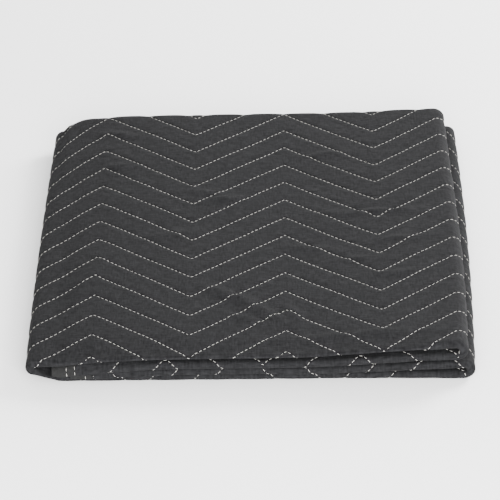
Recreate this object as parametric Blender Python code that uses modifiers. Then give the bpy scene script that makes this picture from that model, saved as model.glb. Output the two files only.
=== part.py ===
"""Folded moving pad: a quilted sheet of 72 by 80 inches with bound edges, folded to 16 plies.

The sheet's length is halved twice, which gives a strip of four plies with its folded nose at the
front. Both ends of the strip are then folded in over its middle, like a gate, and the two halves
close like a book, so that four layers lie on each other and wrap round the left end.
X runs from left to right, Y from front to back, Z up, and the origin is under the middle.
"""

import collections
import math

import bmesh
import bpy
from mathutils import Matrix, Vector

MM = 0.001

# Cut size of the sheet and of its binding
FLAT_LENGTH = 2032 * MM
PLY = 1.9 * MM
BOUND_PLY = 0.8 * MM
TAPE = 0.3 * MM
TAPE_WIDTH = 25.4 * MM
TAPE_GAP = 0.25 * MM

# Folding in length: four plies, a little apart
PLY_PITCH = 2.2 * MM
QUARTER = FLAT_LENGTH / 4

# Zigzag quilting: half a wave along X, and the pitch of its rows
ZIGZAG_HALF = 101.6 * MM
ROW_PITCH = 39.2 * MM
ZIGZAG_RISE = 2 * ROW_PITCH
PEAK_X = 68.0 * MM
ROW_START = 2.4 * MM
PUFF = 2.0 * MM
PUFF_BASE = 0.35 * MM

# Heights in millimetres at places along X. x is the distance from the left end; z4 to z1 are the
# middles of the four layers, from the lowest to the top one; f4 to f1 say how far the front nose
# of each layer stands out.
COLUMNS = ("x", "z4", "z3", "z2", "z1", "f4", "f3", "f2", "f1")
ROWS = (
    (9.1, 12.0, 13.1, 16.4, 21.4, 0.0, 7.0, 6.0, 0.0),
    (18.0, 10.4, 13.1, 16.4, 23.0, 0.0, 7.0, 6.0, 0.0),
    (27.0, 6.9, 13.1, 16.4, 25.9, 0.0, 7.0, 6.0, 0.0),
    (36.5, 4.7, 13.1, 19.4, 28.9, 0.0, 7.0, 6.0, 0.0),
    (46.0, 4.25, 13.1, 22.4, 31.6, 0.0, 7.0, 6.0, 0.0),
    (68.0, 4.25, 13.1, 22.2, 31.2, 0.0, 7.0, 7.0, 0.0),
    (235.0, 4.25, 13.2, 22.5, 31.8, 0.0, 3.5, 7.5, 0.0),
    (285.0, 4.25, 13.3, 22.7, 32.2, 0.0, 6.0, 7.5, 0.0),
    (338.0, 4.25, 14.3, 24.4, 34.8, 0.0, 5.0, 7.0, 0.0),
    (380.0, 4.25, 15.4, 26.4, 37.4, 0.5, 4.5, 6.0, 0.5),
    (418.0, 4.25, 16.4, 27.6, 39.4, 1.2, 3.5, 4.0, 1.8),
    (448.0, 4.25, 16.8, 27.3, 41.0, 2.0, 2.5, 3.0, 3.0),
    (456.5, 4.25, 16.85, 27.3, 41.0, 2.2, 2.2, 3.0, 3.0),
)
LEFT_FOLD_X = 9.1 * MM
RIGHT_FOLD_X = {1: 448.0 * MM, 2: 448.0 * MM, 3: 456.5 * MM, 4: 456.5 * MM}
FREE_END_X = {2: 27.0 * MM, 3: 46.0 * MM}
WIDTH = 467.0 * MM

# Unevenness of the whole folded pad
LEFT_TAPER = 11.0 * MM
RIGHT_BOW = 4.0 * MM
RIGHT_TAPER = 2.5 * MM
BACK_CORNER = 12.0 * MM
BACK_CORNER_REACH = 40.0 * MM
BACK_SINK = 0.10
SINK_START_X = 270.0 * MM
SINK_RUN = 100.0 * MM

# Steps of the mesh
ARC_STEPS = 5
INNER_FOLD_STEPS = 3
NOSE_STEPS = 6
ROW_STEP = ROW_PITCH / 2
ROWS_PER_COARSE = 6
COLUMN_STEP = ZIGZAG_HALF / 4
COARSE_X = (68.0, 169.6, 271.2, 322.0, 347.4, 372.8, 423.6)
LEFT_X = (17.2, 27.0, 36.5, 46.0, 57.0)
RAMP = 4.2 * MM
MARGIN = TAPE_WIDTH + 1.2 * MM

# Places along the sheet's length, where each ply and fold begins
NOSE_CENTRE = 1.5 * PLY_PITCH + PLY / 2
INNER_ARC = math.pi * 0.5 * PLY_PITCH
OUTER_ARC = math.pi * 1.5 * PLY_PITCH
SPAN = QUARTER - INNER_ARC
BACK_CENTRE = NOSE_CENTRE + SPAN
S_INNER = QUARTER - INNER_ARC / 2
S_PLY2 = S_INNER + INNER_ARC
S_BACK = S_PLY2 + SPAN
S_PLY3 = S_BACK + INNER_ARC
S_NOSE = S_PLY3 + SPAN
S_PLY4 = S_NOSE + OUTER_ARC
DEPTH = BACK_CENTRE + 0.5 * PLY_PITCH + PLY / 2

CHARCOAL = (0.050, 0.050, 0.052, 1.0)
CHARCOAL_TAPE = (0.040, 0.040, 0.042, 1.0)

# A place along the strip: x, z, the strip's outward normal there, how far the front nose stands
# out, the layer's number or 0 in a fold, the distance from a free end, and whether the place
# serves only the relief of the top ply.
Station = collections.namedtuple("Station", "x z outward nose layer reach relief_only")


def level(name, x):
    """A column of the table at x, joined by smooth curves that are level at both ends."""
    column = COLUMNS.index(name)
    places = [row[0] * MM for row in ROWS]
    values = [row[column] * MM for row in ROWS]
    x = min(max(x, places[0]), places[-1])
    last = len(ROWS) - 1
    slopes = [0.0] * len(ROWS)
    for k in range(1, last):
        before = (values[k] - values[k - 1]) / (places[k] - places[k - 1])
        after = (values[k + 1] - values[k]) / (places[k + 1] - places[k])
        if before * after > 0:
            slopes[k] = 2 * before * after / (before + after)
    k = max(i for i in range(last) if places[i] <= x)
    run = places[k + 1] - places[k]
    t = (x - places[k]) / run
    start = (1 + 2 * t) * (1 - t) ** 2 * values[k] + t * (1 - t) ** 2 * run * slopes[k]
    end = t * t * (3 - 2 * t) * values[k + 1] - t * t * (1 - t) * run * slopes[k + 1]
    return start + end


def layer_station(layer, x, relief_only=False):
    """A place on the middle of a layer."""
    step = 0.5 * MM
    rise = level(f"z{layer}", x + step) - level(f"z{layer}", x - step)
    outward = Vector((-rise, 2 * step)).normalized()
    if layer in (2, 4):
        outward.negate()
    reach = x - FREE_END_X[layer] if layer in FREE_END_X else math.inf
    height = level(f"z{layer}", x)
    return Station(x, height, outward, level(f"f{layer}", x), layer, reach, relief_only)


def arc_stations(first, second, centre_x, side):
    """The stations inside a fold of the strip, from one layer to the next. side is 1 at the right."""
    start = layer_station(first, centre_x)
    end = layer_station(second, centre_x)
    middle = Vector((centre_x, (start.z + end.z) / 2))
    radius = abs(end.z - start.z) / 2
    stations = []
    for k in range(1, ARC_STEPS):
        share = k / ARC_STEPS
        angle = math.pi * (share - 0.5) * side
        outward = Vector((side * math.cos(angle), math.sin(angle)))
        point = middle + radius * outward
        nose = start.nose + (end.nose - start.nose) * share
        stations.append(Station(point.x, point.y, outward, nose, 0, math.inf, False))
    return stations


def along_strip():
    """All stations, from the free end in layer 2 round the folds to the free end in layer 3."""
    coarse = [x * MM for x in COARSE_X]
    left = [x * MM for x in LEFT_X]
    fine_count = round((coarse[-1] - coarse[0]) / COLUMN_STEP)
    fine = [coarse[0] + k * COLUMN_STEP for k in range(fine_count + 1)]
    bound = {layer: [x + MARGIN, x + MARGIN + RAMP] for layer, x in FREE_END_X.items()}

    def layer(number, places):
        for x in places:
            in_all_plies = number != 1 or x not in fine or any(abs(x - c) < MM for c in coarse)
            yield layer_station(number, x, not in_all_plies)

    return [
        *layer(2, left[1:4] + bound[2] + coarse + [RIGHT_FOLD_X[2]]),
        *arc_stations(2, 1, RIGHT_FOLD_X[1], 1),
        *layer(1, [RIGHT_FOLD_X[1]] + fine[::-1] + left[::-1] + [LEFT_FOLD_X]),
        *arc_stations(1, 4, LEFT_FOLD_X, -1),
        *layer(4, [LEFT_FOLD_X] + left + coarse + [RIGHT_FOLD_X[4]]),
        *arc_stations(4, 3, RIGHT_FOLD_X[4], 1),
        *layer(3, [RIGHT_FOLD_X[3]] + coarse[:0:-1] + bound[3][::-1] + left[:2:-1]),
    ]


def across_sheet():
    """All rows along the sheet's length, as (place, only for relief)."""
    first_row = math.ceil((S_PLY3 - ROW_START) / ROW_STEP + 0.2)
    last_row = math.floor((S_NOSE - ROW_START) / ROW_STEP - 0.2)
    fine = [ROW_START + k * ROW_STEP for k in range(first_row, last_row + 1)]
    coarse = fine[ROWS_PER_COARSE // 2 :: ROWS_PER_COARSE]
    depths = [NOSE_CENTRE + (S_NOSE - s) for s in coarse]
    rows = [(0.0, False), (MARGIN, False), (MARGIN + RAMP, False)]
    rows += [(S_INNER - (v - NOSE_CENTRE), False) for v in depths]
    for k in range(INNER_FOLD_STEPS + 1):
        rows.append((S_INNER + INNER_ARC * k / INNER_FOLD_STEPS, False))
    rows += [(S_PLY2 + (v - NOSE_CENTRE), False) for v in depths[::-1]]
    for k in range(INNER_FOLD_STEPS + 1):
        rows.append((S_BACK + INNER_ARC * k / INNER_FOLD_STEPS, False))
    rows += [(s, s not in coarse) for s in fine]
    for k in range(NOSE_STEPS + 1):
        rows.append((S_NOSE + OUTER_ARC * k / NOSE_STEPS, False))
    rows += [(S_PLY4 + (v - NOSE_CENTRE), False) for v in depths[::-1]]
    rows += [(FLAT_LENGTH - MARGIN - RAMP, False), (FLAT_LENGTH - MARGIN, False), (FLAT_LENGTH, False)]
    return rows


def in_strip(s, out):
    """Depth from the nose, and height in the strip, at a place on the sheet and a height over it."""
    if s < S_INNER:
        return NOSE_CENTRE + (S_INNER - s), -0.5 * PLY_PITCH + out
    if s < S_PLY2:
        angle = math.pi * ((s - S_INNER) / INNER_ARC - 0.5)
        radius = 0.5 * PLY_PITCH - out
        return NOSE_CENTRE - radius * math.cos(angle), radius * math.sin(angle)
    if s < S_BACK:
        return NOSE_CENTRE + (s - S_PLY2), 0.5 * PLY_PITCH - out
    if s < S_PLY3:
        angle = math.pi * ((s - S_BACK) / INNER_ARC - 0.5)
        radius = 0.5 * PLY_PITCH + out
        return BACK_CENTRE + radius * math.cos(angle), PLY_PITCH + radius * math.sin(angle)
    if s < S_NOSE:
        return BACK_CENTRE - (s - S_PLY3), 1.5 * PLY_PITCH + out
    if s < S_PLY4:
        angle = math.pi * (0.5 - (s - S_NOSE) / OUTER_ARC)
        radius = 1.5 * PLY_PITCH + out
        return NOSE_CENTRE - radius * math.cos(angle), radius * math.sin(angle)
    return NOSE_CENTRE + (s - S_PLY4), -1.5 * PLY_PITCH - out


def ease(t):
    t = min(max(t, 0.0), 1.0)
    return t * t * (3 - 2 * t)


def place(station, s, out):
    """A point of the folded sheet, or one held at a height over its middle."""
    v, n = in_strip(s, out)
    depth = min(max(v / DEPTH, 0.0), 1.0)
    right = ease(station.x / WIDTH)
    bow = RIGHT_BOW * math.sin(math.pi * depth) - RIGHT_TAPER * depth**3
    taper = LEFT_TAPER * depth**1.6
    past_fold = max(0.0, station.x - LEFT_FOLD_X)
    corner = max(0.0, 1 - past_fold / BACK_CORNER_REACH) ** 2
    sink = BACK_SINK * ease((station.x - SINK_START_X) / SINK_RUN) * depth
    return Vector((
        station.x + n * station.outward.x + bow * right + taper * (1 - right),
        v - station.nose * (1 - depth) - BACK_CORNER * corner * depth**3,
        station.z - (station.z - NOSE_CENTRE) * sink + n * station.outward.y,
    ))


def quilting(x, s):
    """Height of the padding between the stitched rows, none on a row. It fades under the nose."""
    wave = abs(((x - PEAK_X) / ZIGZAG_HALF + 1) % 2 - 1)
    row = (s - ROW_START - ZIGZAG_RISE * wave) / ROW_PITCH
    fade = ease(2 * (S_PLY4 - s) / OUTER_ARC - 0.6)
    return fade * (PUFF_BASE + PUFF * math.sin(math.pi * (row % 1.0)))


def fabric(name, colour):
    material = bpy.data.materials.new(name)
    material.use_nodes = True
    shader = material.node_tree.nodes["Principled BSDF"]
    shader.inputs["Base Color"].default_value = colour
    shader.inputs["Roughness"].default_value = 0.9
    shader.inputs["Metallic"].default_value = 0.0
    material.diffuse_color = colour
    return material


def grid_mesh(columns, rows):
    """A flat grid, and its points by column and row."""
    bm = bmesh.new()
    bm.verts.layers.deform.verify()
    bmesh.ops.create_grid(bm, x_segments=columns - 1, y_segments=rows - 1, size=1.0)
    points = {}
    for vert in bm.verts:
        i = round((vert.co.x + 1) / 2 * (columns - 1))
        j = round((vert.co.y + 1) / 2 * (rows - 1))
        points[i, j] = vert
    return bm, points


def new_object(name, bm, material, collection):
    bmesh.ops.recalc_face_normals(bm, faces=bm.faces)
    mesh = bpy.data.meshes.new(name)
    bm.to_mesh(mesh)
    bm.free()
    mesh.materials.append(material)
    mesh.shade_smooth()
    obj = bpy.data.objects.new(name, mesh)
    collection.objects.link(obj)
    return obj


def thicken(obj, thickness, thinnest=1.0):
    modifier = obj.modifiers.new("Thickness", "SOLIDIFY")
    modifier.thickness = thickness
    modifier.offset = 0.0
    modifier.use_even_offset = thinnest == 1.0
    if thinnest < 1.0:
        modifier.vertex_group = "full_thickness"
        modifier.thickness_vertex_group = thinnest


def make_pad(collection):
    """The quilted sheet, folded, with relief only where the folded pad shows it."""
    stations = along_strip()
    rows = across_sheet()
    bm, points = grid_mesh(len(stations), len(rows))
    weights = bm.verts.layers.deform.active
    for (i, j), vert in points.items():
        station = stations[i]
        s = rows[j][0]
        raised = station.layer == 1 and S_PLY3 < s < S_PLY4
        vert.co = place(station, s, quilting(station.x, s) if raised else 0.0)
        edge = min(station.reach, s, FLAT_LENGTH - s)
        vert[weights][0] = 0.0 if edge < MARGIN + 0.1 * MM else 1.0
    plain = set()
    for (i, j), vert in points.items():
        s, row_relief_only = rows[j]
        if row_relief_only and (i + 1, j) in points:
            if not stations[i].layer == stations[i + 1].layer == 1:
                plain.add(bm.edges.get((vert, points[i + 1, j])))
        if stations[i].relief_only and (i, j + 1) in points:
            if not S_BACK - MM < s < S_PLY4 - MM:
                plain.add(bm.edges.get((vert, points[i, j + 1])))
    bmesh.ops.dissolve_edges(bm, edges=list(plain), use_verts=True)
    pad = new_object("quilted_pad", bm, fabric("charcoal_quilting", CHARCOAL), collection)
    pad.vertex_groups.new(name="full_thickness")
    thicken(pad, PLY, BOUND_PLY / PLY)
    return pad


def binding_profile():
    """The tape's run over the sheet's edge: how far in from the edge, and how far off its middle."""
    off = BOUND_PLY / 2 + TAPE_GAP + TAPE / 2
    past = -TAPE_GAP - TAPE / 2
    return ((TAPE_WIDTH, off), (past, off), (past, -off), (TAPE_WIDTH, -off))


def make_end_binding(name, layer, material, collection):
    rows = [s for s, relief in across_sheet() if not relief]
    profile = binding_profile()
    inside = [x * MM for x in LEFT_X if 0 < x * MM - FREE_END_X[layer] < TAPE_WIDTH - MM]
    legs = []
    for reach, off in profile:
        legs.append((FREE_END_X[layer] + reach, off))
    run = legs[:1] + [(x, legs[0][1]) for x in inside[::-1]] + legs[1:3]
    run += [(x, legs[3][1]) for x in inside] + legs[3:]
    bm, points = grid_mesh(len(run), len(rows))
    for (i, j), vert in points.items():
        x, off = run[i]
        vert.co = place(layer_station(layer, x), rows[j], off)
    binding = new_object(name, bm, material, collection)
    thicken(binding, TAPE)
    return binding


def make_side_binding(name, far, material, collection):
    """Tape along a long side; far is for the side at the end of the sheet's length."""
    inner = MARGIN - 0.1 * MM
    stations = [station for station in along_strip() if station.reach > inner and not station.relief_only]
    profile = binding_profile()
    bm, points = grid_mesh(len(stations), len(profile))
    for (i, j), vert in points.items():
        reach, off = profile[j]
        vert.co = place(stations[i], FLAT_LENGTH - reach if far else reach, off)
    binding = new_object(name, bm, material, collection)
    thicken(binding, TAPE)
    return binding


def centre(objects):
    """Moves the origin under the middle of the folded pad, and sets its flat underside on z = 0."""
    graph = bpy.context.evaluated_depsgraph_get()
    corners = []
    for obj in objects:
        corners += [obj.evaluated_get(graph).matrix_world @ v.co for v in obj.evaluated_get(graph).data.vertices]
    low = Vector(min(c[k] for c in corners) for k in range(3))
    high = Vector(max(c[k] for c in corners) for k in range(3))
    shift = Matrix.Translation((-(low.x + high.x) / 2, -(low.y + high.y) / 2, -low.z))
    for obj in objects:
        obj.data.transform(shift)


def main():
    for obj in list(bpy.data.objects):
        bpy.data.objects.remove(obj, do_unlink=True)
    collection = bpy.data.collections.new("moving_pad")
    bpy.context.scene.collection.children.link(collection)
    tape = fabric("charcoal_binding_tape", CHARCOAL_TAPE)
    parts = [
        make_pad(collection),
        make_end_binding("binding_end_a", 2, tape, collection),
        make_end_binding("binding_end_b", 3, tape, collection),
        make_side_binding("binding_side_a", False, tape, collection),
        make_side_binding("binding_side_b", True, tape, collection),
    ]
    bpy.context.view_layer.update()
    centre(parts)


main()
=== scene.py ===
"""Looks of a folded moving pad: charcoal quilted cloth with off-white zigzag stitching."""

import bisect
import collections
import math

import bmesh
import bpy
from mathutils import Matrix, Vector, noise


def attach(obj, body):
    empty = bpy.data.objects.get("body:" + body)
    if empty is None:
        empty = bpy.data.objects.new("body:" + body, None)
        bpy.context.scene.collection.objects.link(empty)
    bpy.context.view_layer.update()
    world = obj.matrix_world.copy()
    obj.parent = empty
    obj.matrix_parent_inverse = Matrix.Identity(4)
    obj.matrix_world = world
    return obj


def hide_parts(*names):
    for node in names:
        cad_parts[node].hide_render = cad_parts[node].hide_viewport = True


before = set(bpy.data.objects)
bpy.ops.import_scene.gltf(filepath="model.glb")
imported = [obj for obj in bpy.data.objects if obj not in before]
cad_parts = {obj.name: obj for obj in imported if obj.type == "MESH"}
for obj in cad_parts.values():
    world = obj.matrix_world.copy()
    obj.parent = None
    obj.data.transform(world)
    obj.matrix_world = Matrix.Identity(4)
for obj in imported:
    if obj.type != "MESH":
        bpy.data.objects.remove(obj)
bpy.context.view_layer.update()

MM = 0.001

# Quilted pad: two faces of charcoal cotton and polyester cloth with a thin felt between them, sewn
# together in zigzag rows. It is halved twice in length, and the strip of four plies is then
# folded in from both ends and shut like a book.
FLAT_LENGTH = 2032 * MM
PLY = 1.9 * MM
BOUND_PLY = 0.6 * MM
PLY_PITCH = 2.2 * MM
QUARTER = FLAT_LENGTH / 4
TAPE_WIDTH = 25.4 * MM

# From the left end, and from the front noses, to the middle of the folded pad
MIDDLE_X = 234.6 * MM
MIDDLE_Y = 252.3 * MM

# Zigzag rows: half a wave, the pitch of the rows, and where the first peak lies. A wave and a pitch
# are whole numbers of the mesh's steps, so that a row climbs one step for each step along.
ZIGZAG_HALF = 101.6 * MM
STEPS_PER_WAVE = 35
ROW_PITCH = 38.6 * MM
STEPS_PER_PITCH = 8
ZIGZAG_RISE = ROW_PITCH * STEPS_PER_WAVE / (2 * STEPS_PER_PITCH)
PEAK_X = 68.0 * MM
PEAK_BEFORE_NOSE = 41.2 * MM

# Padding between the rows, its share on the folds at the sides and on the noses, and where it
# starts beside the tape
PUFF = 1.5 * MM
FOLD_PUFF = 0.8
NOSE_PUFF = 0.7
PADDED_FROM = TAPE_WIDTH + 1.2 * MM
PADDING_RAMP = 4.2 * MM

# Heights in millimetres at places along X: the middles of the four layers from the lowest to the
# top one, how far the front nose of each stands out, and how much the two inner layers are
# squeezed there. droop says how far their noses hang down in front of the lower layers.
COLUMNS = ("x", "z4", "z3", "z2", "z1", "f4", "f3", "f2", "f1", "squeeze", "droop")
ROWS = (
    (9.1, 12.1, 12.1, 15.6, 21.5, 0.0, 4.0, 5.0, 1.0, 0.68, 5.0),
    (18.0, 10.9, 12.1, 15.6, 22.7, 0.0, 4.0, 5.0, 2.0, 0.68, 5.0),
    (27.0, 8.3, 12.0, 15.5, 23.4, 0.0, 4.0, 5.0, 3.0, 0.68, 5.5),
    (36.5, 5.5, 11.6, 15.8, 24.9, 0.0, 4.0, 5.5, 4.5, 0.80, 7.0),
    (46.0, 4.25, 11.3, 18.1, 27.3, 0.0, 4.0, 6.0, 6.0, 0.66, 7.0),
    (61.0, 4.25, 12.6, 20.7, 29.6, 0.0, 4.5, 6.5, 7.0, 0.93, 6.5),
    (80.0, 4.25, 13.0, 21.7, 31.2, 0.0, 5.0, 7.0, 7.5, 1.0, 4.5),
    (118.0, 4.25, 13.1, 22.2, 32.0, 0.0, 5.0, 7.5, 8.0, 1.0, 1.5),
    (165.0, 4.25, 13.15, 22.4, 32.4, 0.0, 4.5, 7.5, 8.0, 1.0, 0.0),
    (235.0, 4.25, 13.2, 22.5, 32.8, 0.0, 4.0, 7.5, 8.0, 1.0, 0.0),
    (285.0, 4.25, 13.3, 22.7, 33.2, 0.0, 6.0, 7.5, 8.0, 1.0, 0.0),
    (338.0, 4.25, 14.3, 24.4, 36.1, 0.0, 5.0, 7.0, 7.5, 1.0, 0.0),
    (380.0, 4.25, 15.4, 26.4, 38.8, 0.5, 4.5, 6.0, 7.0, 1.0, 0.0),
    (418.0, 4.25, 16.4, 27.6, 40.4, 1.2, 3.5, 4.0, 5.5, 1.0, 0.0),
    (448.0, 4.25, 16.8, 27.3, 41.2, 2.0, 2.5, 3.0, 3.0, 1.0, 0.0),
    (456.5, 4.25, 16.85, 27.3, 41.2, 2.2, 2.2, 3.0, 3.0, 1.0, 0.0),
)
LEFT_FOLD_X = 9.1 * MM
RIGHT_FOLD_X = {1: 448.0 * MM, 2: 448.0 * MM, 3: 456.5 * MM, 4: 456.5 * MM}
FREE_END_X = {2: 27.0 * MM, 3: 46.0 * MM}

# Outline from above. The left side leans in towards the back, mostly near the fold. The right side
# bows out, and its upper layers lean in. The back left corner is cut off, and the right end sinks
# towards the back.
LEFT_TAPER = 11.0 * MM
TAPER_NEAR = 0.7
TAPER_NEAR_REACH = 60.0 * MM
TAPER_FAR = 0.3
TAPER_FAR_X = 120.0 * MM
TAPER_FAR_RUN = 200.0 * MM
RIGHT_BOW_X = 385.0 * MM
RIGHT_BOW = 4.0 * MM
RIGHT_TAPER = 4.7 * MM
RIGHT_TAPER_START = 0.15
RIGHT_TAPER_RUN = 0.75
UPPER_Z = 17.0 * MM
UPPER_RUN = 10.0 * MM
BACK_CORNER = 16.0 * MM
BACK_CORNER_REACH = 44.0 * MM
BACK_SINK = 0.10
SINK_START_X = 270.0 * MM
SINK_RUN = 100.0 * MM

# Stretches of X in millimetres: where something starts, how far it takes to grow, where it ends,
# and how far before that it fades
Stretch = collections.namedtuple("Stretch", "start growth end fade")

# The top layer's nose is a thin lip: how far back it thins, what is left of it, and how far it
# sinks, more so by the pocket at the left. Below that pocket the lowest layer has a lip as well.
# Beside the cut-off corner the top lies a little higher.
LIP_RUN = 34.0 * MM
LIP_LEFT = 0.36
LIP_SINK = 2.5 * MM
POCKET_SINK = 3.0 * MM
POCKET_REACH = 150.0 * MM
TOP_LIP = Stretch(18, 50, 430, 30)
LOWEST_LIP = Stretch(9, 7, 46, 12)
BACK_LIFT = 3.6 * MM
BACK_LIFTED = Stretch(9, 9, 60, 32)

# The inner noses hang down where they stand out past the layers below them
DROOP_START = 1.5 * MM
DROOP_RUN = 8.0 * MM

# The rows run on from layer to layer round the folds. For each layer: the side on which the
# pattern's X grows, the pattern's X at x = 0, and how far the skewed folding moves the rows.
Pattern = collections.namedtuple("Pattern", "side start row_shift")
PATTERNS = {
    1: Pattern(1, 0.0, 0.0),
    2: Pattern(-1, 924.5 * MM, 8.6 * MM),
    4: Pattern(-1, -19.6 * MM, -4.5 * MM),
    3: Pattern(1, -970.0 * MM, -12.4 * MM),
}

# Steps of the mesh. On the top a column and a row are one step of the zigzag, with part of a step
# kept clear before the folds. Elsewhere the grid is coarser.
COLUMN_STEP = 2 * ZIGZAG_HALF / STEPS_PER_WAVE
ROW_STEP = ROW_PITCH / STEPS_PER_PITCH
CLEAR_COLUMN = 0.3
CLEAR_ROW = 0.2
NOSE_COLUMN_STEP = 8.5 * MM
ROWS_PER_COARSE = 9
UNDER_TAPE = (3.0 * MM, 8.7 * MM, 14.4 * MM, 20.0 * MM)
NEAR_NOSE = (2 * MM, 5 * MM, 9 * MM, 14 * MM, 20 * MM)
ARC_STEPS = 10
INNER_FOLD_STEPS = 4
NOSE_STEPS = 14

# Places along the sheet's length, where each ply and fold begins
NOSE_CENTRE = 1.5 * PLY_PITCH + PLY / 2
INNER_ARC = math.pi * 0.5 * PLY_PITCH
OUTER_ARC = math.pi * 1.5 * PLY_PITCH
SPAN = QUARTER - INNER_ARC
BACK_CENTRE = NOSE_CENTRE + SPAN
S_INNER = QUARTER - INNER_ARC / 2
S_PLY2 = S_INNER + INNER_ARC
S_BACK = S_PLY2 + SPAN
S_PLY3 = S_BACK + INNER_ARC
S_NOSE = S_PLY3 + SPAN
S_PLY4 = S_NOSE + OUTER_ARC
DEPTH = BACK_CENTRE + 0.5 * PLY_PITCH + PLY / 2

# A place along the strip. MIXED names the values that change evenly from layer to layer in a fold.
MIXED = ("nose", "squeeze", "droop", "lip", "back_lift", "pattern_x", "row_shift")
Station = collections.namedtuple("Station", ("x", "z", "outward", "layer", "relief", "reach", *MIXED))


def ease(t):
    """A smooth step from 0 to 1."""
    t = min(max(t, 0.0), 1.0)
    return t * t * (3 - 2 * t)


def within(x, stretch):
    """How much of something there is at x: nothing outside its stretch, and all of it inside."""
    grown = ease((x - stretch.start * MM) / (stretch.growth * MM))
    return grown * ease((stretch.end * MM - x) / (stretch.fade * MM))


def level(name, x):
    """A column of the table at x, joined by smooth curves."""
    column = COLUMNS.index(name)
    scale = 1 if name == "squeeze" else MM
    places = [row[0] * MM for row in ROWS]
    values = [row[column] * scale for row in ROWS]
    x = min(max(x, places[0]), places[-1])
    last = len(ROWS) - 1
    slopes = [0.0] * len(ROWS)
    for k in range(1, last):
        before = (values[k] - values[k - 1]) / (places[k] - places[k - 1])
        after = (values[k + 1] - values[k]) / (places[k + 1] - places[k])
        if before * after > 0:
            slopes[k] = 2 * before * after / (before + after)
    k = max(i for i in range(last) if places[i] <= x)
    run = places[k + 1] - places[k]
    t = (x - places[k]) / run
    start = (1 + 2 * t) * (1 - t) ** 2 * values[k] + t * (1 - t) ** 2 * run * slopes[k]
    end = t * t * (3 - 2 * t) * values[k + 1] - t * t * (1 - t) * run * slopes[k + 1]
    return start + end


def lip_at(layer, x):
    """How much of a thin lip the nose is: the top layer's, and the lowest one's by the pocket."""
    if layer == 1:
        return within(x, TOP_LIP)
    if layer == 4:
        return within(x, LOWEST_LIP)
    return 0.0


def layer_station(layer, x):
    """A place on the middle of a layer."""
    step = 0.5 * MM
    rise = level(f"z{layer}", x + step) - level(f"z{layer}", x - step)
    outward = Vector((-rise, 2 * step)).normalized()
    if layer in (2, 4):
        outward.negate()
    pattern = PATTERNS[layer]
    return Station(
        x=x,
        z=level(f"z{layer}", x),
        outward=outward,
        nose=level(f"f{layer}", x),
        squeeze=level("squeeze", x) if layer in (2, 3) else 1.0,
        droop=level("droop", x) if layer in (2, 3) else 0.0,
        lip=lip_at(layer, x),
        back_lift=BACK_LIFT * within(x, BACK_LIFTED) if layer == 1 else 0.0,
        layer=layer,
        pattern_x=pattern.start + pattern.side * x,
        row_shift=pattern.row_shift,
        relief=1.0 if layer == 1 else 0.0,
        reach=x - FREE_END_X[layer] if layer in FREE_END_X else math.inf,
    )


def arc_stations(first, second, centre_x, side):
    """The stations inside a fold of the strip, from one layer to the next. side is 1 at the right."""
    start = layer_station(first, centre_x)
    end = layer_station(second, centre_x)
    middle = Vector((centre_x, (start.z + end.z) / 2))
    radius = abs(end.z - start.z) / 2
    stations = []
    for k in range(1, ARC_STEPS):
        share = k / ARC_STEPS
        angle = math.pi * (share - 0.5) * side
        outward = Vector((side * math.cos(angle), math.sin(angle)))
        point = middle + radius * outward
        relief = start.relief * (1 - share) + end.relief * share
        mixed = {name: getattr(start, name) * (1 - share) + getattr(end, name) * share for name in MIXED}
        stations.append(
            Station(
                x=point.x,
                z=point.y,
                outward=outward,
                layer=0,
                relief=max(relief, FOLD_PUFF * math.sin(math.pi * share)),
                reach=math.inf,
                **mixed,
            )
        )
    return stations


def steps_between(low, high, step):
    """Even places from low to high, at most a step apart."""
    count = math.ceil((high - low) / step)
    return [low + (high - low) * k / count for k in range(count + 1)]


def along_strip():
    """All stations, from the free end in layer 2 round the folds to the free end in layer 3."""
    first = math.ceil((LEFT_FOLD_X - PEAK_X) / COLUMN_STEP + CLEAR_COLUMN)
    last = math.floor((RIGHT_FOLD_X[1] - PEAK_X) / COLUMN_STEP - CLEAR_COLUMN)
    top = [PEAK_X + k * COLUMN_STEP for k in range(first, last + 1)]

    def covered(layer):
        start = FREE_END_X[layer]
        bound = [start + reach for reach in (0.0, *UNDER_TAPE, PADDED_FROM)]
        return bound + steps_between(bound[-1], RIGHT_FOLD_X[layer], NOSE_COLUMN_STEP)[1:]

    def layer(number, places):
        return [layer_station(number, x) for x in places]

    return [
        *layer(2, covered(2)),
        *arc_stations(2, 1, RIGHT_FOLD_X[1], 1),
        *layer(1, [RIGHT_FOLD_X[1]] + top[::-1] + [LEFT_FOLD_X]),
        *arc_stations(1, 4, LEFT_FOLD_X, -1),
        *layer(4, steps_between(LEFT_FOLD_X, RIGHT_FOLD_X[4], NOSE_COLUMN_STEP)),
        *arc_stations(4, 3, RIGHT_FOLD_X[4], 1),
        *layer(3, covered(3)[::-1]),
    ]


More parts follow.
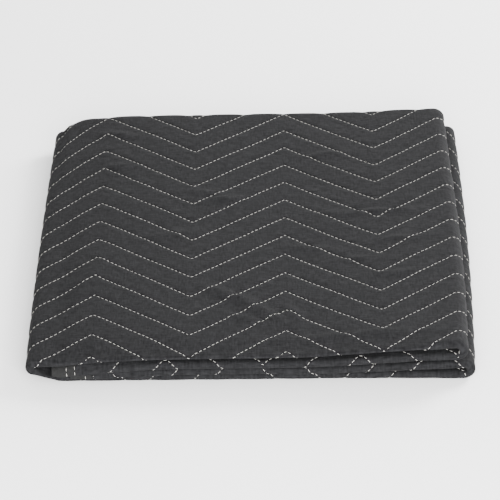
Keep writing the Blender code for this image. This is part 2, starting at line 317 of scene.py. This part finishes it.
def across_sheet():
    """The places of all rows along the sheet's length."""
    start = S_NOSE - PEAK_BEFORE_NOSE
    first_row = math.ceil((S_PLY3 - start) / ROW_STEP + CLEAR_ROW)
    last_row = math.floor((S_NOSE - start) / ROW_STEP - CLEAR_ROW)
    fine = [start + k * ROW_STEP for k in range(first_row, last_row + 1)]
    behind_nose = [S_NOSE - s for s in fine[ROWS_PER_COARSE // 2 :: ROWS_PER_COARSE]]
    inner_fold = [INNER_ARC * k / INNER_FOLD_STEPS for k in range(INNER_FOLD_STEPS + 1)]
    return [
        0.0,
        PADDED_FROM,
        PADDED_FROM + PADDING_RAMP,
        *(S_INNER - depth for depth in behind_nose),
        *(S_INNER + reach for reach in inner_fold),
        *(S_PLY2 + depth for depth in behind_nose[::-1]),
        *(S_BACK + reach for reach in inner_fold),
        *fine,
        *(S_NOSE + OUTER_ARC * k / NOSE_STEPS for k in range(NOSE_STEPS + 1)),
        *(S_PLY4 + reach for reach in NEAR_NOSE),
        *(S_PLY4 + depth for depth in behind_nose[::-1]),
        FLAT_LENGTH - PADDED_FROM - PADDING_RAMP,
        FLAT_LENGTH - PADDED_FROM,
        FLAT_LENGTH,
    ]


def in_strip(s, out):
    """Depth from the nose, and height in the strip, at a place on the sheet and a height over it."""
    if s < S_INNER:
        return NOSE_CENTRE + (S_INNER - s), -0.5 * PLY_PITCH + out
    if s < S_PLY2:
        angle = math.pi * ((s - S_INNER) / INNER_ARC - 0.5)
        radius = 0.5 * PLY_PITCH - out
        return NOSE_CENTRE - radius * math.cos(angle), radius * math.sin(angle)
    if s < S_BACK:
        return NOSE_CENTRE + (s - S_PLY2), 0.5 * PLY_PITCH - out
    if s < S_PLY3:
        angle = math.pi * ((s - S_BACK) / INNER_ARC - 0.5)
        radius = 0.5 * PLY_PITCH + out
        return BACK_CENTRE + radius * math.cos(angle), PLY_PITCH + radius * math.sin(angle)
    if s < S_NOSE:
        return BACK_CENTRE - (s - S_PLY3), 1.5 * PLY_PITCH + out
    if s < S_PLY4:
        angle = math.pi * (0.5 - (s - S_NOSE) / OUTER_ARC)
        radius = 1.5 * PLY_PITCH + out
        return NOSE_CENTRE - radius * math.cos(angle), radius * math.sin(angle)
    return NOSE_CENTRE + (s - S_PLY4), -1.5 * PLY_PITCH - out


def place(station, s, out=0.0):
    """A point of the folded sheet, or one held at a height over its middle."""
    back, height = in_strip(s, out)
    near_nose = ease(1 - back / LIP_RUN)
    thinner = (1 - LIP_LEFT) * station.lip * near_nose
    height = height * station.squeeze * (1 - thinner) + NOSE_CENTRE * thinner
    depth = min(max(back / DEPTH, 0.0), 1.0)
    ahead = station.nose * (1 - depth) - back + DROOP_START
    sunk = station.droop * ease(ahead / DROOP_RUN) - station.back_lift * depth**3
    if station.outward.y > 0:
        by_pocket = 1 - ease((station.x - LEFT_FOLD_X) / POCKET_REACH)
        sunk += (LIP_SINK + POCKET_SINK * by_pocket) * station.lip * near_nose
    past_fold = max(0.0, station.x - LEFT_FOLD_X)
    left = TAPER_NEAR * (1 - ease(past_fold / TAPER_NEAR_REACH))
    left += TAPER_FAR * (1 - ease((station.x - TAPER_FAR_X) / TAPER_FAR_RUN))
    taper = LEFT_TAPER * depth**1.6
    right = ease((station.x - RIGHT_BOW_X) / (RIGHT_FOLD_X[1] - RIGHT_BOW_X))
    upper = ease((station.z - UPPER_Z) / UPPER_RUN)
    lean = RIGHT_TAPER * upper * ease((depth - RIGHT_TAPER_START) / RIGHT_TAPER_RUN)
    bow = RIGHT_BOW * math.sin(math.pi * depth) - lean
    corner = max(0.0, 1 - past_fold / BACK_CORNER_REACH) ** 3
    sink = BACK_SINK * ease((station.x - SINK_START_X) / SINK_RUN) * depth
    return Vector((
        station.x + height * station.outward.x + bow * right + taper * left - MIDDLE_X,
        back - station.nose * (1 - depth) - BACK_CORNER * corner * depth**3 - MIDDLE_Y,
        station.z - sunk - (station.z - NOSE_CENTRE) * sink + height * station.outward.y,
    ))


def wave_at(pattern_x):
    """Height of the zigzag from 0 at its peaks, which point to the back, to 1."""
    return abs(((pattern_x - PEAK_X) / ZIGZAG_HALF + 1) % 2 - 1)


def quilting(station, s):
    """Height of the padding between the stitched rows, none on a row and none where plies touch."""
    if not S_BACK < s < S_PLY4 or station.reach < PADDED_FROM:
        return 0.0
    start = S_NOSE - PEAK_BEFORE_NOSE + station.row_shift + ZIGZAG_RISE * wave_at(station.pattern_x)
    row = (s - start) / ROW_PITCH
    pillow = 1 - abs(2 * (row % 1.0) - 1) ** 3
    if s < S_PLY3:
        fade = ease((s - S_BACK) / INNER_ARC)
    else:
        fade = ease(2 * (S_PLY4 - s) / OUTER_ARC - 0.5)
    relief = station.relief
    if s > S_NOSE and station.layer != 1:
        front = math.sin(math.pi * (s - S_NOSE) / OUTER_ARC) ** 2
        relief, fade = max(relief * fade, NOSE_PUFF * front), 1.0
    return PUFF * pillow * relief * fade


# Soft creases on the top: place, direction, half length, half width and height, in millimetres.
# A crease is steeper on one side.
Crease = collections.namedtuple("Crease", "x y angle length width height")
CREASES = (
    Crease(200, 315, 2, 22, 6, 2.4),
    Crease(187, 330, -4, 18, 5, 1.8),
    Crease(376, 279, 1, 42, 5, 2.7),
    Crease(351, 178, 4, 20, 5, 2.1),
    Crease(399, 219, 8, 28, 6, 2.4),
    Crease(384, 145, 6, 26, 6, 1.8),
    Crease(212, 111, -36, 32, 7, 3.0),
    Crease(252, 73, -46, 28, 7, 3.3),
    Crease(281, 71, -74, 18, 6, 2.7),
    Crease(230, 62, -30, 30, 6, 2.1),
    Crease(82, 468, -15, 22, 6, 2.1),
    Crease(88, 395, 5, 20, 6, 1.8),
    Crease(317, 412, 10, 24, 6, 2.1),
    Crease(150, 240, 12, 30, 8, 1.8),
    Crease(300, 205, -8, 26, 6, 1.8),
    Crease(60, 160, 70, 50, 9, 1.8),
    Crease(330, 22, 2, 90, 7, 2.4),
)
STEEPER = 0.9

# Unevenness of the top: height, length along and across in millimetres, and a place in the noise
UNEVEN = ((0.9, 70, 55, 0.3), (0.45, 26, 22, 4.1))

# The top is soft between these sides, in millimetres, and fades to its plain form towards them
SOFT_LEFT, SOFT_RIGHT, SOFT_FRONT, SOFT_BACK, SOFT_FADE = 9, 455, 4, 505, 25


def softness(x, y):
    """How far the top cloth lies off its smooth form, at a place in millimetres."""
    total = 0.0
    for height, length, width, seed in UNEVEN:
        total += height * noise.noise(Vector((x / length, y / width, seed)))
    for crease in CREASES:
        angle = math.radians(crease.angle)
        dx = x - crease.x
        dy = y - crease.y
        along = (dx * math.cos(angle) + dy * math.sin(angle)) / crease.length
        across = (dy * math.cos(angle) - dx * math.sin(angle)) / crease.width
        total += crease.height * math.exp(-(along**2) - across**2) * (1 - STEEPER * across)
    inside = min(x - SOFT_LEFT, SOFT_RIGHT - x, SOFT_BACK - y, y - SOFT_FRONT)
    return total * MM * ease(inside / SOFT_FADE)


def grid_mesh(columns, rows):
    """A flat grid, and its points by column and row."""
    bm = bmesh.new()
    bm.verts.layers.deform.verify()
    bmesh.ops.create_grid(bm, x_segments=columns - 1, y_segments=rows - 1, size=1.0)
    points = {}
    for vert in bm.verts:
        i = round((vert.co.x + 1) / 2 * (columns - 1))
        j = round((vert.co.y + 1) / 2 * (rows - 1))
        points[i, j] = vert
    return bm, points


def new_piece(name, bm, material):
    """Makes the finished mesh an object of the scene that rides on the pad's one body."""
    mesh = bpy.data.meshes.new(name)
    bm.to_mesh(mesh)
    bm.free()
    mesh.materials.append(material)
    mesh.shade_smooth()
    obj = bpy.data.objects.new(name, mesh)
    bpy.context.scene.collection.objects.link(obj)
    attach(obj, "root")
    return obj


def thicken(obj, thickness):
    """Gives a sheet its thickness, half of it on each side."""
    modifier = obj.modifiers.new("Thickness", "SOLIDIFY")
    modifier.thickness = thickness
    modifier.offset = 0.0
    return modifier


def colour(code):
    """An sRGB hex value as linear colour."""
    parts = [int(code[k : k + 2], 16) / 255 for k in (1, 3, 5)]
    return [p / 12.92 if p <= 0.04045 else ((p + 0.055) / 1.055) ** 2.4 for p in parts] + [1.0]


def add(tree, kind, sockets=(), **settings):
    """Adds a node: settings are its own, and each socket gets a value or another node's output."""
    made = tree.nodes.new(kind)
    for name, value in settings.items():
        setattr(made, name, value)
    for name, value in dict(sockets).items():
        if isinstance(value, bpy.types.NodeSocket):
            tree.links.new(value, made.inputs[name])
        else:
            made.inputs[name].default_value = value
    return made


def new_material(name):
    """A material with its Principled shader, and the node tree that it stands in."""
    material = bpy.data.materials.new(name)
    material.use_nodes = True
    tree = material.node_tree
    return material, tree, tree.nodes["Principled BSDF"]


# Piece-dyed woven cotton and polyester: matt, a little cloudy, drawn in along the rows of stitches
# and puckered beside them. Its yarns are too fine to see one by one. They are drawn 1.9 mm apart,
# about three times as coarse as real, so that a grain shows.
YARN = 1.9 * MM
YARN_HEIGHT = 0.4 * MM
CLOUD = 9 * MM
GROOVE = 3.2 * MM
GROOVE_DEPTH = 0.9 * MM
PUCKER = 9 * MM
PUCKER_REACH = 14 * MM
PUCKER_HEIGHT = 2.4 * MM
cloth_material, tree, shader = new_material("woven_cotton_polyester")
flat = add(tree, "ShaderNodeUVMap", uv_map="flat_cloth").outputs["UV"]
flat_xy = add(tree, "ShaderNodeSeparateXYZ", {"Vector": flat})

# Distance from the nearest row of stitches
from_peak = add(
    tree,
    "ShaderNodeMath",
    {0: flat_xy.outputs["X"], 1: PEAK_X},
    operation="SUBTRACT",
)
half_waves = add(
    tree,
    "ShaderNodeMath",
    {0: from_peak.outputs[0], 1: ZIGZAG_HALF},
    operation="PINGPONG",
)
zigzag = add(
    tree,
    "ShaderNodeMath",
    {0: half_waves.outputs[0], 1: -ZIGZAG_RISE / ZIGZAG_HALF, 2: flat_xy.outputs["Y"]},
    operation="MULTIPLY_ADD",
)
from_start = add(
    tree,
    "ShaderNodeMath",
    {0: zigzag.outputs[0], 1: S_NOSE - PEAK_BEFORE_NOSE},
    operation="SUBTRACT",
)
off_row = add(
    tree,
    "ShaderNodeMath",
    {0: from_start.outputs[0], 1: ROW_PITCH / 2},
    operation="PINGPONG",
)
groove = add(
    tree,
    "ShaderNodeMapRange",
    {"Value": off_row.outputs[0], "From Min": 0.0, "From Max": GROOVE},
    interpolation_type="SMOOTHSTEP",
)
near_row = add(
    tree,
    "ShaderNodeMapRange",
    {"Value": off_row.outputs[0], "From Min": 0.0, "From Max": PUCKER_REACH, "To Min": 1.0, "To Max": 0.15},
)

# Colour: soft clouds, and the grain of the yarns both ways
clouds = add(
    tree,
    "ShaderNodeTexNoise",
    {"Vector": flat, "Scale": 1 / CLOUD, "Detail": 4.0, "Roughness": 0.6},
)
cloudy = add(tree, "ShaderNodeValToRGB", {"Fac": clouds.outputs[0]})
cloudy.color_ramp.elements[0].position = 0.3
cloudy.color_ramp.elements[0].color = colour("#131314")
cloudy.color_ramp.elements[1].position = 0.72
cloudy.color_ramp.elements[1].color = colour("#19191a")
yarns = []
for along_yarns in ((0.22, 1.0, 1.0), (1.0, 0.22, 1.0)):
    stretched = add(tree, "ShaderNodeMapping", {"Vector": flat, "Scale": along_yarns})
    yarns.append(add(
        tree,
        "ShaderNodeTexNoise",
        {"Vector": stretched.outputs[0], "Scale": 1 / YARN, "Detail": 2.0, "Roughness": 0.5},
    ))
weave = add(
    tree,
    "ShaderNodeMath",
    {0: yarns[0].outputs[0], 1: yarns[1].outputs[0]},
    operation="ADD",
)
grain = add(
    tree,
    "ShaderNodeMapRange",
    {"Value": weave.outputs[0], "From Min": 0.6, "From Max": 1.4, "To Min": 0.42, "To Max": 1.58},
)
grained = add(
    tree,
    "ShaderNodeVectorMath",
    {0: cloudy.outputs[0], "Scale": grain.outputs[0]},
    operation="SCALE",
)
tree.links.new(grained.outputs[0], shader.inputs["Base Color"])

# Relief: the groove of each row, puckers beside it that run along the pad, and the yarns
pad_long = add(tree, "ShaderNodeMapping", {"Vector": flat, "Scale": (0.45, 1.0, 1.0)})
puckers = add(
    tree,
    "ShaderNodeTexNoise",
    {"Vector": pad_long.outputs[0], "Scale": 1 / PUCKER, "Detail": 2.0, "Roughness": 0.5},
)
puckered = add(
    tree,
    "ShaderNodeMath",
    {0: puckers.outputs[0], 1: near_row.outputs[0]},
    operation="MULTIPLY",
)
bumps = add(
    tree,
    "ShaderNodeBump",
    {"Height": groove.outputs[0], "Distance": GROOVE_DEPTH, "Strength": 0.8},
)
for relief, height in ((puckered, PUCKER_HEIGHT), (weave, YARN_HEIGHT)):
    bumps = add(
        tree,
        "ShaderNodeBump",
        {"Height": relief.outputs[0], "Distance": height, "Strength": 0.9, "Normal": bumps.outputs[0]},
    )
tree.links.new(bumps.outputs[0], shader.inputs["Normal"])
shader.inputs["Roughness"].default_value = 0.93
shader.inputs["Specular IOR Level"].default_value = 0.05
shader.inputs["Sheen Weight"].default_value = 0.01
shader.inputs["Sheen Roughness"].default_value = 0.5

stations = along_strip()
rows = across_sheet()


def along_row(i, j):
    """Whether the stitched rows run nearer to the diagonal from point (i, j) to (i + 1, j + 1)."""
    def off(a, b):
        station = stations[a]
        return rows[b] - station.row_shift - ZIGZAG_RISE * wave_at(station.pattern_x)

    return abs(off(i, j) - off(i + 1, j + 1)) < abs(off(i + 1, j) - off(i, j + 1))


bm, points = grid_mesh(len(stations), len(rows))
uv_layer = bm.loops.layers.uv.new("flat_cloth")
weights = bm.verts.layers.deform.active
for (i, j), vert in points.items():
    station = stations[i]
    s = rows[j]
    vert.co = place(station, s, quilting(station, s))
    if station.layer == 1 and S_PLY3 < s < S_NOSE:
        vert.co.z += softness(station.x / MM, (vert.co.y + MIDDLE_Y) / MM)
    bound = min(station.reach, s, FLAT_LENGTH - s) < PADDED_FROM + 0.1 * MM
    vert[weights][0] = 0.0 if bound else 1.0
bm.verts.index_update()
places = {vert.index: key for key, vert in points.items()}
for face in bm.faces:
    for loop in face.loops:
        i, j = places[loop.vert.index]
        loop[uv_layer].uv = (stations[i].pattern_x, rows[j] - stations[i].row_shift)
for i in range(len(stations) - 1):
    for j in range(len(rows) - 1):
        pair = points[i + 1, j], points[i, j + 1]
        if along_row(i, j):
            pair = points[i, j], points[i + 1, j + 1]
        face = next(f for f in pair[0].link_faces if pair[1] in f.verts)
        bmesh.utils.face_split(face, *pair)
bmesh.ops.recalc_face_normals(bm, faces=bm.faces)
surface = {key: vert.co.copy() for key, vert in points.items()}
pad = new_piece("quilted_cloth", bm, cloth_material)
pad.vertex_groups.new(name="full_thickness")
thickness = thicken(pad, PLY)
thickness.vertex_group = "full_thickness"
thickness.thickness_vertex_group = BOUND_PLY / PLY
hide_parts("quilted_pad")

# Quilting thread: off-white spun polyester, locked through both faces, so that it shows as short
# raised dashes with the cloth drawn in between them. Each row runs on over the folds.
STITCH = 5.7 * MM
STITCH_SHOWN = 3.9 * MM
THREAD = 0.52 * MM
THREAD_HEIGHT = 0.84 * THREAD
THREAD_LIFT = 0.08 * MM
SEWN_PAST_NOSE = 20 * MM


def normal_at(i, s):
    """The way out of the cloth at a station."""
    return (place(stations[i], s, MM) - place(stations[i], s, 0.0)).normalized()


def on_cloth(i, share, s):
    """A point on the cloth between stations i and i + 1, and the way out of the cloth there."""
    j = max(k for k in range(len(rows) - 1) if rows[k] <= s)
    t = (s - rows[j]) / (rows[j + 1] - rows[j])
    near, far = surface[i, j], surface[i + 1, j]
    near_next, far_next = surface[i, j + 1], surface[i + 1, j + 1]
    if along_row(i, j):
        corner = far if share > t else near_next
        low, high = min(share, t), max(share, t)
        point = near * (1 - high) + corner * (high - low) + far_next * low
    elif share + t < 1:
        point = near * (1 - share - t) + far * share + near_next * t
    else:
        point = far_next * (share + t - 1) + near_next * (1 - share) + far * (1 - t)
    out = normal_at(i, s).lerp(normal_at(i + 1, s), share).normalized()
    return point + out * (PLY / 2 + THREAD_LIFT), out


def add_stitch(bm, start, middle, end, out):
    """One dash of thread: a long flat bead that sinks in at both ends."""
    along = (end - start) / 2
    side = out.cross(along).normalized()
    up = along.cross(side).normalized()
    matrix = Matrix((side * THREAD / 2, up * THREAD_HEIGHT / 2, along)).transposed().to_4x4()
    matrix.translation = middle
    bmesh.ops.create_uvsphere(bm, u_segments=6, v_segments=4, radius=1.0, matrix=matrix)


def stitch_line(bm, line):
    """Dashes at the stitch length along a line of (point, way out)."""
    reached = [0.0]
    for (before, _), (after, _) in zip(line, line[1:]):
        reached.append(reached[-1] + (after - before).length)

    def along(distance):
        k = min(bisect.bisect_right(reached, distance), len(line) - 1)
        share = (distance - reached[k - 1]) / max(reached[k] - reached[k - 1], 1e-9)
        point = line[k - 1][0].lerp(line[k][0], share)
        return point, line[k - 1][1].lerp(line[k][1], share)

    for k in range(math.floor((reached[-1] - STITCH_SHOWN) / STITCH) + 1):
        start, _ = along(k * STITCH)
        middle, out = along(k * STITCH + STITCH_SHOWN / 2)
        end, _ = along(k * STITCH + STITCH_SHOWN)
        add_stitch(bm, start, middle, end, out)


def sew(lines):
    """All lines of stitches as one mesh, each made by itself and then joined."""
    joined = bmesh.new()
    for line in lines:
        if len(line) < 2:
            continue
        single = bmesh.new()
        stitch_line(single, line)
        mesh = bpy.data.meshes.new("line")
        single.to_mesh(mesh)
        single.free()
        joined.from_mesh(mesh)
        bpy.data.meshes.remove(mesh)
    return joined


def shows(station, s):
    """Whether the outer face shows there: the top, the folds at the sides, and all noses."""
    if station.reach < PADDED_FROM:
        return False
    if station.layer in (0, 1) and S_BACK < s < S_NOSE:
        return True
    return S_NOSE - SEWN_PAST_NOSE < s < S_PLY4 + SEWN_PAST_NOSE


# Spun polyester thread: satin, a little uneven in its twist
TWIST = 0.8 * MM
TWIST_HEIGHT = 0.2 * MM
thread_material, tree, shader = new_material("spun_polyester_thread")
along_thread = add(tree, "ShaderNodeTexCoord").outputs["Object"]
twist = add(
    tree,
    "ShaderNodeTexNoise",
    {"Vector": along_thread, "Scale": 1 / TWIST, "Detail": 2.0},
)
shade = add(tree, "ShaderNodeValToRGB", {"Fac": twist.outputs[0]})
shade.color_ramp.elements[0].position = 0.3
shade.color_ramp.elements[0].color = colour("#84827c")
shade.color_ramp.elements[1].position = 0.7
shade.color_ramp.elements[1].color = colour("#a8a6a0")
twist_bump = add(
    tree,
    "ShaderNodeBump",
    {"Height": twist.outputs[0], "Distance": TWIST_HEIGHT, "Strength": 0.6},
)
tree.links.new(shade.outputs[0], shader.inputs["Base Color"])
tree.links.new(twist_bump.outputs[0], shader.inputs["Normal"])
shader.inputs["Roughness"].default_value = 0.6
shader.inputs["Sheen Weight"].default_value = 0.2

# Each row is followed over all stations, with a few points from each one to the next
POINTS_PER_STEP = 4
first_row = math.floor((S_BACK - S_NOSE - ZIGZAG_RISE) / ROW_PITCH)
last_row = math.ceil((OUTER_ARC + PEAK_BEFORE_NOSE + SEWN_PAST_NOSE) / ROW_PITCH)
lines = []
for row in range(first_row, last_row + 1):
    lines.append([])
    for i in range(len(stations) - 1):
        here, ahead = stations[i], stations[i + 1]
        for k in range(POINTS_PER_STEP):
            share = k / POINTS_PER_STEP
            at = here.pattern_x * (1 - share) + ahead.pattern_x * share
            shift = here.row_shift * (1 - share) + ahead.row_shift * share
            s = S_NOSE - PEAK_BEFORE_NOSE + shift + ZIGZAG_RISE * wave_at(at) + row * ROW_PITCH
            if shows(here, s):
                lines[-1].append(on_cloth(i, share, s))
            elif lines[-1]:
                lines.append([])
bm = sew(lines)
thread = new_piece("quilting_thread", bm, thread_material)

# Binding of the two short ends: woven tape, an inch wide on each face, folded over the sheet's edge
# and sewn on with two rows. Both ends lie inside the left fold.
TAPE = 0.3 * MM
TAPE_GAP = 0.05 * MM
TAPE_OFF = BOUND_PLY / 2 + TAPE_GAP + TAPE / 2

# Woven polyester tape: matt, darker than the cloth, with a slanting rib. The ribs are drawn 4 mm
# apart, coarser than real, so that they show.
RIB = 4.0 * MM
RIB_HEIGHT = 0.2 * MM
FUZZ = 2.5 * MM
tape_material, tree, shader = new_material("woven_polyester_tape")
spot = add(tree, "ShaderNodeTexCoord").outputs["Object"]
ribs = add(
    tree,
    "ShaderNodeTexWave",
    {"Vector": spot, "Scale": math.tau / (10 * math.sqrt(3) * RIB), "Distortion": 0.6, "Detail": 1.0},
    wave_type="BANDS",
    bands_direction="DIAGONAL",
)
fuzz = add(tree, "ShaderNodeTexNoise", {"Vector": spot, "Scale": 1 / FUZZ, "Detail": 3.0})
tape_colour = add(tree, "ShaderNodeValToRGB", {"Fac": fuzz.outputs[0]})
tape_colour.color_ramp.elements[0].position = 0.3
tape_colour.color_ramp.elements[0].color = colour("#121212")
tape_colour.color_ramp.elements[1].position = 0.7
tape_colour.color_ramp.elements[1].color = colour("#191919")
rib_bump = add(
    tree,
    "ShaderNodeBump",
    {"Height": ribs.outputs[0], "Distance": RIB_HEIGHT, "Strength": 0.6},
)
tree.links.new(tape_colour.outputs[0], shader.inputs["Base Color"])
tree.links.new(rib_bump.outputs[0], shader.inputs["Normal"])
shader.inputs["Roughness"].default_value = 0.85
shader.inputs["Specular IOR Level"].default_value = 0.1
shader.inputs["Sheen Weight"].default_value = 0.01

# Run of the tape over the edge: how far in from the edge, and how far off the sheet's middle. Round
# the edge itself these are in millimetres past it, and in shares of the tape's height.
ROUND_EDGE = ((0.0, 1.0), (-0.25, 0.7), (-0.35, 0.0), (-0.25, -0.7), (0.0, -1.0))
AROUND = [(reach * MM, share * TAPE_OFF) for reach, share in ROUND_EDGE]
OVER_EDGE = [(TAPE_WIDTH, TAPE_OFF), *AROUND, (TAPE_WIDTH, -TAPE_OFF)]

for name, node, layer in (("end_tape_a", "binding_end_a", 2), ("end_tape_b", "binding_end_b", 3)):
    inside = sorted(s.reach for s in stations if s.layer == layer and 0 < s.reach < TAPE_WIDTH)
    over = [(reach, TAPE_OFF) for reach in inside[::-1]]
    under = [(reach, -TAPE_OFF) for reach in inside]
    run = [OVER_EDGE[0], *over, *AROUND, *under, OVER_EDGE[-1]]
    bm, points = grid_mesh(len(run), len(rows))
    for (i, j), vert in points.items():
        reach, off = run[i]
        vert.co = place(layer_station(layer, FREE_END_X[layer] + reach), rows[j], off)
    bmesh.ops.recalc_face_normals(bm, faces=bm.faces)
    tape = new_piece(name, bm, tape_material)
    thicken(tape, TAPE)
    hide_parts(node)

# Binding of the two long sides: the same tape, which follows the sheet's edge through all folds
# of the strip and shows only from behind.
bound_stations = [station for station in stations if station.reach > TAPE_WIDTH + MM]
for name, node, far in (
    ("side_tape_a", "binding_side_a", False),
    ("side_tape_b", "binding_side_b", True),
):
    bm, points = grid_mesh(len(bound_stations), len(OVER_EDGE))
    for (i, j), vert in points.items():
        reach, off = OVER_EDGE[j]
        vert.co = place(bound_stations[i], FLAT_LENGTH - reach if far else reach, off)
    bmesh.ops.recalc_face_normals(bm, faces=bm.faces)
    tape = new_piece(name, bm, tape_material)
    thicken(tape, TAPE)
    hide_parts(node)

# Stitching of the end bindings: two rows of the same off-white thread through the tape, which wrap
# round the noses inside the left fold.
END_ROWS = (15.7 * MM, 24.1 * MM)
END_ROW_START = 16 * MM
END_ROW_STEP = 0.5 * MM
END_ROW_STEPS = 90
lines = []
for layer in FREE_END_X:
    for reach in END_ROWS:
        station = layer_station(layer, FREE_END_X[layer] + reach)
        lines.append([])
        for k in range(END_ROW_STEPS):
            s = S_NOSE - END_ROW_START + k * END_ROW_STEP
            face = place(station, s, TAPE_OFF + TAPE / 2)
            out = (place(station, s, TAPE_OFF + MM) - place(station, s, TAPE_OFF)).normalized()
            lines[-1].append((face, out))
bm = sew(lines)
end_thread = new_piece("binding_thread", bm, thread_material)

# Floor: plain matt white studio sweep.
floor_material, tree, shader = new_material("matt_white_paper")
shader.inputs["Base Color"].default_value = colour("#f4f4f4")
shader.inputs["Roughness"].default_value = 0.9
shader.inputs["Specular IOR Level"].default_value = 0.1
bm = bmesh.new()
bmesh.ops.create_grid(bm, x_segments=1, y_segments=1, size=6.0)
floor_mesh = bpy.data.meshes.new("floor")
bm.to_mesh(floor_mesh)
bm.free()
floor_mesh.materials.append(floor_material)
floor = bpy.data.objects.new("floor", floor_mesh)
bpy.context.scene.collection.objects.link(floor)

# Light: a soft box from the right and behind, a larger one from the front, a weak one from behind,
# and an even pale surround.
world = bpy.data.worlds.new("studio")
world.use_nodes = True
world.node_tree.nodes["Background"].inputs["Color"].default_value = (1.0, 1.0, 1.0, 1.0)
world.node_tree.nodes["Background"].inputs["Strength"].default_value = 1.45
bpy.context.scene.world = world
for name, spot, size, power in (
    ("top_light", (1.8, 1.5, 1.15), 1.2, 210),
    ("front_light", (0.2, -2.4, 0.7), 1.8, 330),
    ("back_light", (-0.3, 2.4, 0.8), 1.8, 40),
):
    light = bpy.data.lights.new(name, "AREA")
    light.size = size
    light.energy = power
    lamp = bpy.data.objects.new(name, light)
    lamp.location = spot
    lamp.rotation_euler = (-Vector(spot)).to_track_quat("-Z", "Y").to_euler()
    bpy.context.scene.collection.objects.link(lamp)

# Camera: a long lens, looking down on the front edge. Its place is measured from the pad's left
# front corner.
FOCAL_PIXELS = 3998.0
PICTURE_PIXELS = 500
CAMERA_PLACE = Vector((263.484, -3518.939, 2241.060)) * MM
camera_data = bpy.data.cameras.new("camera")
camera_data.sensor_width = 36.0
camera_data.lens = FOCAL_PIXELS * camera_data.sensor_width / PICTURE_PIXELS
camera_data.clip_end = 50.0
camera = bpy.data.objects.new("camera", camera_data)
pitch = math.radians(30.62084)
yaw = math.radians(-0.46471)
roll = math.radians(-0.81663)
ahead = Vector((math.sin(yaw) * math.cos(pitch), math.cos(yaw) * math.cos(pitch), -math.sin(pitch)))
turn = ahead.to_track_quat("-Z", "Y").to_matrix() @ Matrix.Rotation(roll, 3, "Z")
spot = CAMERA_PLACE - Vector((MIDDLE_X, MIDDLE_Y, 0.0))
camera.matrix_world = Matrix.Translation(spot) @ turn.to_4x4()
bpy.context.scene.collection.objects.link(camera)
bpy.context.scene.camera = camera

bpy.context.view_layer.update()
